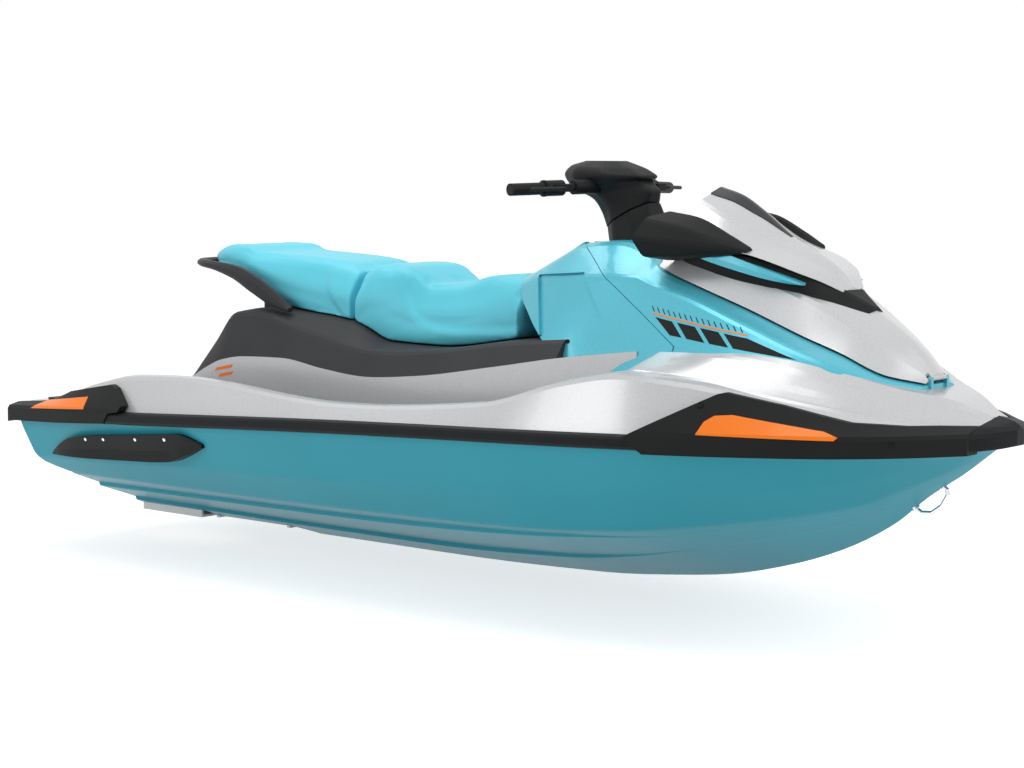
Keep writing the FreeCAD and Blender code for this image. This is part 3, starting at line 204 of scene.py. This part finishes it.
gelcoat("hull_gelcoat", (0.045, 0.37, 0.47))
flake_paint("deck_gelcoat", (0.56, 0.565, 0.575), 0.35)
flake_paint("silver_panel", (0.56, 0.565, 0.575), 0.45)
flake_paint("teal_panel", (0.085, 0.50, 0.62), 0.25)
print("painted finishes:", ", ".join(FINISH))

# %% [markdown]
# ## Plastic, rubber and matting
#
# The guards, the seat base, the handlebar's fittings and the rail are black or dark grey,
# moulded in tools with a fine pebbled grain, so that scratches don't show. One function
# makes them all, with the size of the pebbles as its number. The grain breaks up the gloss
# and lifts the surface by half a millimetre at most. The mats to stand on are soft foam,
# ribbed along the craft, and a wave pattern draws the ribbing both as relief and as painted
# light and shade: each rib's crest is painted lighter and each groove painted darker.

# %% Plastic and rubber
def textured_plastic(name, color, grain):
    """Moulded plastic or rubber with a pebbled grain."""
    material, shader, place = finish(name, color, 0.5, Specular_IOR_Level=0.12)
    pebble = noise(material, place, grain, 4.0)
    tint(material, shader, noise(material, place, 6.0), shade(color, 0.85), shade(color, 1.2))
    wear(material, shader, pebble, 0.42, 0.62)
    bump(material, shader, pebble, 0.35, 0.0005)


textured_plastic("black_plastic", (0.012, 0.0125, 0.013), 700.0)
textured_plastic("trim_plastic", (0.040, 0.041, 0.043), 700.0)
textured_plastic("rail_rubber", (0.010, 0.011, 0.012), 350.0)
textured_plastic("grip_rubber", (0.012, 0.012, 0.012), 900.0)
textured_plastic("bar_tube", (0.02, 0.02, 0.021), 1200.0)


def ribbed_mat(name, color):
    """Foam matting ribbed along the craft. It has a ribbed relief, and painted light and shade
    that make each rib's crest lighter and its groove darker.
    """
    material, shader, place = finish(name, color, 0.7)
    rib_relief_and_shade = node(material, "ShaderNodeTexWave", {"Vector": place, "Scale": 22.0},
                bands_direction="Y").outputs["Fac"]
    # Painted light and shade: the rib pattern paints each crest lighter and each groove
    # darker.
    tint(material, shader, rib_relief_and_shade, shade(color, 0.7), shade(color, 1.3))
    bump(material, shader, rib_relief_and_shade, 0.8, 0.002)


ribbed_mat("deck_mat", (0.05, 0.052, 0.056))
print("with plastics and rubber:", len(FINISH), "finishes")

# %% [markdown]
# ## Metal and vinyl
#
# The jet pump is cast alloy, dull and slightly rough. The eye at the bow and the sponsons'
# screws are bright steel. They differ only in colour, roughness and how metallic they are.
# The seats wear marine vinyl, a matt skin embossed with a fine hide grain. The hide is the
# distance to the edges of small random cells, which gives rounded islands between creases.

# %% Metal and vinyl
def cast_metal(name, color, roughness, metallic):
    """Metal with fine grains in its gloss and its surface."""
    material, shader, place = finish(name, color, roughness, Metallic=metallic)
    grains = noise(material, place, 260.0, 5.0)
    wear(material, shader, grains, roughness * 0.8, roughness * 1.25)
    bump(material, shader, grains, 0.3, 0.0006)


cast_metal("cast_alloy", (0.45, 0.46, 0.47), 0.42, 0.7)
cast_metal("engine_block", (0.2, 0.2, 0.21), 0.6, 0.2)
cast_metal("bright_steel", (0.75, 0.76, 0.78), 0.12, 1.0)


def vinyl(name, color):
    """Matt vinyl with a fine hide grain."""
    material, shader, place = finish(name, color, 0.44, Sheen_Weight=0.08,
                                     Specular_IOR_Level=0.3)
    hide = node(material, "ShaderNodeTexVoronoi", {"Vector": place, "Scale": 420.0},
                feature="DISTANCE_TO_EDGE").outputs["Distance"]
    tint(material, shader, noise(material, place, 5.0), shade(color, 0.95), shade(color, 1.05))
    bump(material, shader, hide, 0.25, 0.0004)


vinyl("seat_vinyl", (0.115, 0.60, 0.74))
print("with metals and vinyl:", len(FINISH), "finishes")

# %% [markdown]
# ## Glossy panels
#
# The orange panels in the guards, the smoked screen on the visor and the mirrors are smooth
# mouldings. All three are one finish with other numbers: slow patches in the tone and the
# gloss keep them from looking printed, and the mirror is fully metallic.

# %% Reflectors, smoked screen and mirror
def glossy(name, color, roughness, **sockets):
    """A smooth moulding with a thin clear coat."""
    material, shader, place = finish(name, color, roughness, Coat_Weight=0.15,
                                     Coat_Roughness=0.04, Specular_IOR_Level=0.3, **sockets)
    wear(material, shader, noise(material, place, 14.0), roughness * 0.8, roughness * 1.3)
    tint(material, shader, noise(material, place, 9.0), shade(color, 0.93), shade(color, 1.05))


glossy("orange_panel", (0.98, 0.21, 0.004), 0.35)
glossy("dark_screen", (0.02, 0.022, 0.025), 0.12)
glossy("mirror_glass", (0.8, 0.82, 0.84), 0.04, Metallic=1.0)
print("finishes made:", len(FINISH))

# %% [markdown]
# ## Dressing the model's own pieces
#
# Each piece of the model already names the finish it should have. A dictionary from that
# name to the material made above dresses all of them in one loop. The seat base and the
# grab handle are the same plastic as the guards, but moulded in a lighter grey.

# %% Finish every model piece
slot_of = {part["node"]: part["material_slot"] for part in frame["record"]["subparts"]}
for name, piece in nodes.items():
    piece.data.materials.clear()
    piece.data.materials.append(FINISH[slot_of[name]])
for name in ("seat_base_trim", "grab_handle"):
    nodes[name].data.materials[0] = FINISH["trim_plastic"]
print("dressed", len(nodes), "pieces")

# %% [markdown]
# ## Places on the craft
#
# A builder's drawing gives places as distances from the stern and up from the keel, while
# the model's origin is at the waterline, a metre and a half ahead of the stern. One small
# function turns the first into the second, so that the tables below read like a drawing.
# Two more helpers are needed often: one keeps what a piece's modifiers show, and one turns
# a bmesh into a finished piece.

# %% From the drawing to the model
STERN_TO_ORIGIN, KEEL_TO_WATER = 1.5, 0.284


def drawn(along, up):
    """A place on the drawing as the model's x and z, in metres."""
    return along - STERN_TO_ORIGIN, up - KEEL_TO_WATER


def settle(piece):
    """Makes what the modifiers show the piece's own mesh."""
    view = bpy.context.evaluated_depsgraph_get()
    mesh = bpy.data.meshes.new_from_object(piece.evaluated_get(view))
    piece.modifiers.clear()
    piece.data = mesh


def new_piece(name, bm, slot, body):
    """Turns a bmesh into a finished piece that rides on a body."""
    bmesh.ops.recalc_face_normals(bm, faces=bm.faces)
    mesh = bpy.data.meshes.new(name)
    bm.to_mesh(mesh)
    bm.free()
    piece = bpy.data.objects.new(name, mesh)
    bpy.context.scene.collection.objects.link(piece)
    mesh.materials.append(FINISH[slot])
    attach(piece, body)
    return piece


print("bow eye is drawn at", [round(c, 3) for c in drawn(3.113, 0.322)])

# %% [markdown]
# ## The seats
#
# Both seats are foam under stretched vinyl: firm, with full soft edges, and no flat faces
# except where they rest on their base. The model has them as plain solids of the right
# size. A cloth simulation turns such a solid into upholstery: the skin is remeshed into
# small even squares, blown up a little from inside, and stopped after a few millimetres,
# so corners round off and faces crown while the shape stays. It starts from a slightly
# smaller copy, because it swells.

# %% An even skin, drawn in at the tail
VOXEL = 0.0075                              # the side of the skin's squares
SHRINK = 0.0035                             # how far inside the solid the skin starts
SWELL = 0.006                               # how far the pressure may push it out
SKIN_SMOOTHING = 8
TAIL_START, TAIL_END = drawn(0.86, 0)[0], drawn(0.50, 0)[0]
TAIL_WIDTH = 0.42                           # of the full width, where the oval would end
TAIL_ROUNDNESS = 2.2                        # 2 is an ellipse, and more is squarer
TAIL_CUT = 0.985                            # where the oval is cut off, along its length


def tail_share(x):
    """How much of its width the rear seat keeps at x, as half an oval."""
    if x >= TAIL_START:
        return 1.0
    reach = min((TAIL_START - x) / (TAIL_START - TAIL_END), TAIL_CUT)
    return TAIL_WIDTH + (1.0 - TAIL_WIDTH) * (1.0 - reach ** TAIL_ROUNDNESS) ** 0.5


def even_skin(node_name, name):
    """A closed skin of even squares, a little inside the model's solid."""
    bm = bmesh.new()
    bm.from_mesh(nodes[node_name].data)
    bmesh.ops.remove_doubles(bm, verts=bm.verts, dist=0.00005)
    for vert in bm.verts:
        vert.co.y *= tail_share(vert.co.x)
    mesh = bpy.data.meshes.new(name)
    bm.to_mesh(mesh)
    bm.free()
    piece = bpy.data.objects.new(name, mesh)
    bpy.context.scene.collection.objects.link(piece)
    remesh = piece.modifiers.new("even", "REMESH")
    remesh.mode = "VOXEL"
    remesh.voxel_size = VOXEL
    smooth = piece.modifiers.new("soft", "SMOOTH")
    smooth.factor, smooth.iterations = 0.5, SKIN_SMOOTHING
    settle(piece)
    inward = [vert.normal * -SHRINK for vert in piece.data.vertices]
    for vert, move in zip(piece.data.vertices, inward):
        vert.co += move
    return piece


passenger_pad = even_skin("passenger_seat", "passenger_cushion")
rider_pad = even_skin("rider_seat", "rider_cushion")
print("skins:", len(passenger_pad.data.vertices), len(rider_pad.data.vertices), "points")

# %% [markdown]
# ## Upholstery by pressure
#
# Cloth with a pressure inside behaves like a stretched cover over foam. The points that
# rest on the base are pinned, and gravity is off. Left alone the skin would become a
# balloon, so no point may move further than a few millimetres.

# %% Blowing up the skins
PRESSURE = 4.0
LAST_FRAME = 20
FACING_DOWN = -0.75                         # the normal's z, below which a point rests


def inflate(piece):
    """Swells a skin by cloth pressure. Faces that rest on the base stay put."""
    start = [vert.co.copy() for vert in piece.data.vertices]
    resting = [vert.index for vert in piece.data.vertices
               if vert.normal.z < FACING_DOWN]
    group = piece.vertex_groups.new(name="resting")
    group.add(resting, 1.0, "REPLACE")
    cloth = piece.modifiers.new("vinyl", "CLOTH")
    cloth.settings.vertex_group_mass = group.name
    cloth.settings.use_pressure = True
    cloth.settings.uniform_pressure_force = PRESSURE
    cloth.settings.effector_weights.gravity = 0.0
    cloth.settings.quality = 4
    for number in range(1, LAST_FRAME + 1):
        bpy.context.scene.frame_set(number)
    settle(piece)
    bpy.context.scene.frame_set(1)
    for vert, before in zip(piece.data.vertices, start):
        move = vert.co - before
        if move.length > SWELL:
            vert.co = before + move * (SWELL / move.length)


for pad in (passenger_pad, rider_pad):
    inflate(pad)
print("cushions are", "blown up")

# %% [markdown]
# ## Scoops and lips
#
# Foam seats are moulded with hollows for the thighs. On the rider's seat a crescent edge
# runs from the back bolster down and forward, and ahead of it the side is scooped. The
# passenger's seat is the other way round: its front edge is a raised lip. Each is a line of
# points, and the side of the seat sinks on one side of it, smoothly over a few centimetres.
# A sculptor would brush these in, but a line and a depth are easier to move and to repeat.

# %% Shaping the sides
SCOOP = [drawn(*p) for p in ((1.405, 0.905), (1.415, 0.852), (1.428, 0.792), (1.452, 0.745),
                             (1.488, 0.711), (1.56, 0.690), (1.64, 0.684), (1.755, 0.687),
                             (1.92, 0.698), (2.10, 0.71))]
LIP = [drawn(*p) for p in ((1.115, 0.95), (1.128, 0.885), (1.126, 0.855), (1.138, 0.816),
                           (1.163, 0.780), (1.20, 0.735), (1.25, 0.68))]
SIDE_FOCUS = 1.5                            # how much less the top sinks than the sides


def beyond(line, x, z):
    """How far x, z lies to the left of a line, as seen along it. Behind it is minus."""
    nearest = None
    for (x0, z0), (x1, z1) in zip(line, line[1:]):
        run, rise = x1 - x0, z1 - z0
        share = ((x - x0) * run + (z - z0) * rise) / (run * run + rise * rise)
        share = min(max(share, 0.0), 1.0)
        away = Vector((x - x0 - share * run, z - z0 - share * rise))
        side = run * (z - z0) - rise * (x - x0)
        if nearest is None or away.length < abs(nearest):
            nearest = away.length if side > 0 else -away.length
    return nearest


def sink(piece, line, depth, width, sign=1.0):
    """Sinks the sides of a seat on one side of a line, with a soft step."""
    moves = []
    for vert in piece.data.vertices:
        far = sign * beyond(line, vert.co.x, vert.co.z) / width
        step = min(max(far, 0.0), 1.0)
        step = step * step * (3.0 - 2.0 * step)
        moves.append(vert.normal * (-depth * step * abs(vert.normal.y) ** SIDE_FOCUS))
    for vert, move in zip(piece.data.vertices, moves):
        vert.co += move


sink(rider_pad, SCOOP, depth=0.011, width=0.030)
sink(passenger_pad, LIP, depth=0.007, width=0.024, sign=-1.0)
print("scooped sides and a lip, along", len(SCOOP), "and", len(LIP), "points")

# %% [markdown]
# ## Finishing the cushions
#
# A last smoothing takes out the squares of the skin, and one subdivision makes the outline
# round. Each cushion then takes the place of its plain solid, and rides on the craft.

# %% Finishing the cushions
LAST_SMOOTHING = 3
for pad, node_name in ((passenger_pad, "passenger_seat"), (rider_pad, "rider_seat")):
    even = pad.modifiers.new("even", "SMOOTH")
    even.factor, even.iterations = 0.5, LAST_SMOOTHING
    finer = pad.modifiers.new("finer", "SUBSURF")
    finer.levels = finer.render_levels = 1
    settle(pad)
    for face in pad.data.polygons:
        face.use_smooth = True
    pad.data.materials.clear()
    pad.data.materials.append(FINISH["seat_vinyl"])
    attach(pad, "craft")
    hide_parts(node_name)
    low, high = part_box(node_name)
    print(pad.name, "has", len(pad.data.polygons), "faces; its solid is",
          [round(c, 3) for c in high - low])

# %% [markdown]
# ## Film graphics
#
# The side panels carry a pattern cut from thin vinyl film: dark slanted wedges that run out
# to a long tail, a fine orange line over them and a row of short ticks. Two orange dashes
# sit low on the seat's base. Film follows the surface, so each shape is cut out flat beside
# the craft, sliced into small facets, and pushed sideways until it meets the panel.

# %% Laying film on a panel
FILM = 0.0006                               # how far from the panel the film is laid
THICKNESS = FILM * 0.6
FACET = 0.012
ABEAM = -1.0                                # where the flat shapes are cut out
view = bpy.context.evaluated_depsgraph_get()


def slice_finely(bm, faces_span):
    """Cuts flat shapes along a grid of planes, so that they can bend."""
    (x0, z0), (x1, z1) = faces_span
    for axis, low, high in (((1, 0, 0), x0, x1), ((0, 0, 1), z0, z1)):
        place = low + FACET
        while place < high:
            bmesh.ops.bisect_plane(bm, geom=bm.verts[:] + bm.edges[:] + bm.faces[:],
                                   plane_co=Vector(axis) * place, plane_no=axis)
            place += FACET


def film(name, outlines, target, slot):
    """Lays flat outlines from a side view on both sides of a piece of the model."""
    surface = BVHTree.FromObject(nodes[target], view)
    bm = bmesh.new()
    for outline in outlines:
        corners = [drawn(*corner) for corner in outline]
        bm.faces.new([bm.verts.new((x, ABEAM, z)) for x, z in corners])
    xs = [vert.co.x for vert in bm.verts]
    zs = [vert.co.z for vert in bm.verts]
    slice_finely(bm, ((min(xs), min(zs)), (max(xs), max(zs))))
    lost = []
    for vert in bm.verts:
        hit = surface.ray_cast(vert.co, Vector((0, 1, 0)))[0]
        if hit:
            vert.co.y = hit.y - FILM
        else:
            lost.append(vert)
    bmesh.ops.delete(bm, geom=lost, context="VERTS")
    bmesh.ops.mirror(bm, geom=bm.verts[:] + bm.edges[:] + bm.faces[:], axis="Y",
                     merge_dist=-1.0)
    bmesh.ops.recalc_face_normals(bm, faces=bm.faces)
    bmesh.ops.solidify(bm, geom=bm.faces[:], thickness=THICKNESS)
    return new_piece(name, bm, slot, "craft")


# Outlines from abeam, as places along and up.
WEDGES = [((2.440, 0.7800), (2.500, 0.7715), (2.545, 0.7325), (2.505, 0.7365)),
          ((2.517, 0.7695), (2.577, 0.7615), (2.621, 0.7230), (2.561, 0.7305)),
          ((2.593, 0.7595), (2.651, 0.7515), (2.693, 0.7150), (2.636, 0.7215)),
          ((2.667, 0.7485), (2.734, 0.7385), (2.872, 0.6900), (2.707, 0.7130))]
LINE = [((2.424, 0.7925), (2.730, 0.7480), (2.735, 0.7440), (2.430, 0.7880))]
TICK = ((2.418, 0.8080), (2.4215, 0.8075), (2.4335, 0.7935), (2.430, 0.7940))
TICK_PITCH, TICK_FALL, TICK_COUNT = 0.019, 0.0028, 16
TICKS = [[(along + TICK_PITCH * i, up - TICK_FALL * i) for along, up in TICK]
         for i in range(TICK_COUNT)]
DASHES = [((0.770, 0.541), (0.846, 0.5555), (0.852, 0.566), (0.776, 0.551)),
          ((0.786, 0.522), (0.848, 0.534), (0.854, 0.5445), (0.792, 0.5325))]

film("panel_wedges", WEDGES + TICKS, "front_fairing", "black_plastic")
film("panel_line", LINE, "front_fairing", "orange_panel")
film("base_dashes", DASHES, "seat_pedestal", "orange_panel")
print("film laid:", len(WEDGES), "wedges,", len(TICKS), "ticks")

# %% [markdown]
# ## Fasteners
#
# Small socket screws hold the guards, the sponsons and the knee panels. One screw head is a
# short tapered cone with its top face inset and pushed down. Copies of it are turned to
# stand on the surface, at the place where a line from abeam meets it.

# %% Socket screws
HEAD_HEIGHT = 0.005
HEAD_PROUD = 0.0012                         # from the surface to the head's middle
HEAD_TAPER, RIM_WIDTH = 0.86, 0.4           # shares of its radius
SOCKET_DEPTH = 0.55                         # a share of its height
HEAD_SIDES = 20


def screw_head(bm, radius, height, turn):
    """Adds one head to a bmesh, turned and moved by a matrix."""
    made = bmesh.ops.create_cone(bm, cap_ends=True, segments=HEAD_SIDES, radius1=radius,
                                 radius2=radius * HEAD_TAPER, depth=height)["verts"]
    faces = {face for vert in made for face in vert.link_faces}
    top = max(faces, key=lambda face: face.calc_center_median().z)
    bmesh.ops.inset_individual(bm, faces=[top], thickness=radius * RIM_WIDTH)
    bmesh.ops.translate(bm, verts=top.verts[:], vec=(0, 0, -height * SOCKET_DEPTH))
    ring = {vert for face in faces | {top} for vert in face.verts}
    bmesh.ops.transform(bm, matrix=turn, verts=list(ring))


# Places along and up, and the head's radius, by the piece that each screw holds.
BLACK_SCREWS = [("front_guards", 2.726, 0.584, 0.0085), ("front_guards", 3.162, 0.5035, 0.007),
                ("console", 2.137, 0.699, 0.0065)]
STEEL_SCREWS = [("sponsons", along, up, 0.0065) for along, up in
                ((0.407, 0.318), (0.502, 0.326), (0.666, 0.340), (0.808, 0.352))]


def screws(name, places, slot):
    """Screw heads on both sides of the craft, as one piece."""
    bm = bmesh.new()
    for target, along, up, radius in places:
        x, z = drawn(along, up)
        surface = BVHTree.FromObject(nodes[target], view)
        for side in (-1.0, 1.0):
            hit, normal = surface.ray_cast(Vector((x, side, z)), Vector((0, -side, 0)))[:2]
            stand = normal.to_track_quat("Z", "Y").to_matrix().to_4x4()
            screw_head(bm, radius, HEAD_HEIGHT,
                       Matrix.Translation(hit + normal * HEAD_PROUD) @ stand)
    print(name, "has", 2 * len(places), "heads")
    return new_piece(name, bm, slot, "craft")


screws("panel_screws", BLACK_SCREWS, "black_plastic")
screws("sponson_screws", STEEL_SCREWS, "bright_steel")

# %% [markdown]
# ## The floor
#
# The craft is shown out of the water on plain white, with a soft shadow under the hull. A
# large floor a little below the keel catches the shadow. For the camera, and in
# reflections, the floor glows so that it comes out white, while the light that falls on
# the boat stays plain and even. A brighter lamp would bleach the paint as well.

# %% The floor
FLOOR_DROP = 0.07
FLOOR_GLOW = 0.66
FLOOR_FOR_LIGHT, FLOOR_FOR_CAMERA = 0.8, 0.72  # how white the floor is, to each
bm = bmesh.new()
bmesh.ops.create_grid(bm, x_segments=1, y_segments=1, size=60.0)
bmesh.ops.translate(bm, verts=bm.verts, vec=(0, 0, cad_box[0][2] - FLOOR_DROP))
floor_mesh = bpy.data.meshes.new("floor")
bm.to_mesh(floor_mesh)
bm.free()
floor = bpy.data.objects.new("floor", floor_mesh)
bpy.context.scene.collection.objects.link(floor)


def seen_rays(owner):
    """1 for the camera and for what shows in gloss or through glass, and 0 elsewhere."""
    rays = node(owner, "ShaderNodeLightPath").outputs
    seen = rays["Is Camera Ray"]
    for name in ("Is Glossy Ray", "Is Transmission Ray"):
        seen = node(owner, "ShaderNodeMath", {0: seen, 1: rays[name]},
                    operation="MAXIMUM").outputs[0]
    return seen


def grey(value):
    return (value, value, value, 1.0)


paper = bpy.data.materials.new("paper")
paper.use_nodes = True
tree = paper.node_tree
shader = tree.nodes["Principled BSDF"]
shader.inputs["Roughness"].default_value = 1.0
shader.inputs["Specular IOR Level"].default_value = 0.0
camera_ray = node(paper, "ShaderNodeLightPath").outputs["Is Camera Ray"]
albedo = node(paper, "ShaderNodeMix", {0: camera_ray}, data_type="RGBA")
albedo.inputs[COLOR_A].default_value = grey(FLOOR_FOR_LIGHT)
albedo.inputs[COLOR_B].default_value = grey(FLOOR_FOR_CAMERA)
tree.links.new(albedo.outputs[COLOR_OUT], shader.inputs["Base Color"])
lift = node(paper, "ShaderNodeMath", {0: seen_rays(paper), 1: FLOOR_GLOW},
            operation="MULTIPLY")
glow = node(paper, "ShaderNodeEmission", {"Strength": lift.outputs[0]})
both = node(paper, "ShaderNodeAddShader", {0: shader.outputs[0], 1: glow.outputs[0]})
tree.links.new(both.outputs[0], tree.nodes["Material Output"].inputs["Surface"])
floor.data.materials.append(paper)
print("floor at", round(cad_box[0][2] - FLOOR_DROP, 3))

# %% [markdown]
# ## The sky
#
# An even white sky lights the craft from all sides at half strength, and looks fully white
# itself. A real sky would tint the paint, which should show its own colours.

# %% The sky
SKY = 0.5
world = bpy.data.worlds.new("sky")
bpy.context.scene.world = world
world.use_nodes = True
tree = world.node_tree
strength = node(world, "ShaderNodeMapRange",
                {"Value": seen_rays(world), "To Min": SKY, "To Max": 1.0})
tree.links.new(strength.outputs[0], tree.nodes["Background"].inputs["Strength"])
tree.nodes["Background"].inputs["Color"].default_value = grey(1.0)
print("sky at", SKY)

# %% [markdown]
# ## The lamps
#
# Three large softboxes give the forms their light and dark sides: a wide one overhead that
# brightens what faces up, one ahead of the bow for the hood, and a weak one abeam. Being
# large, they leave soft edges in the gloss.

# %% The lamps
def softbox(name, place, aim, size, power):
    """A rectangular lamp in metres and watts, turned to face a point."""
    data = bpy.data.lights.new(name, "AREA")
    data.shape = "RECTANGLE"
    data.size, data.size_y = size
    data.energy = power
    lamp = bpy.data.objects.new(name, data)
    lamp.location = place
    lamp.rotation_euler = (Vector(aim) - Vector(place)).to_track_quat("-Z", "Y").to_euler()
    bpy.context.scene.collection.objects.link(lamp)
    print(name, "lamp:", power, "W")


softbox("overhead", (-0.3, -0.5, 4.0), (0, 0, 0.2), (5.0, 2.0), 95.0)
softbox("bow", (5.0, 0.8, 3.2), (1.2, 0, 0.3), (2.5, 2.0), 75.0)
softbox("beam", (-2.2, -5.0, 2.0), (-0.6, 0, 0.1), (3.5, 1.5), 48.0)

# %% [markdown]
# ## The last step
#
# The dressed craft has to be as large as the model it started from. The model's own box is
# printed where the model is loaded.

# %% The last step
print("the scene is dressed")
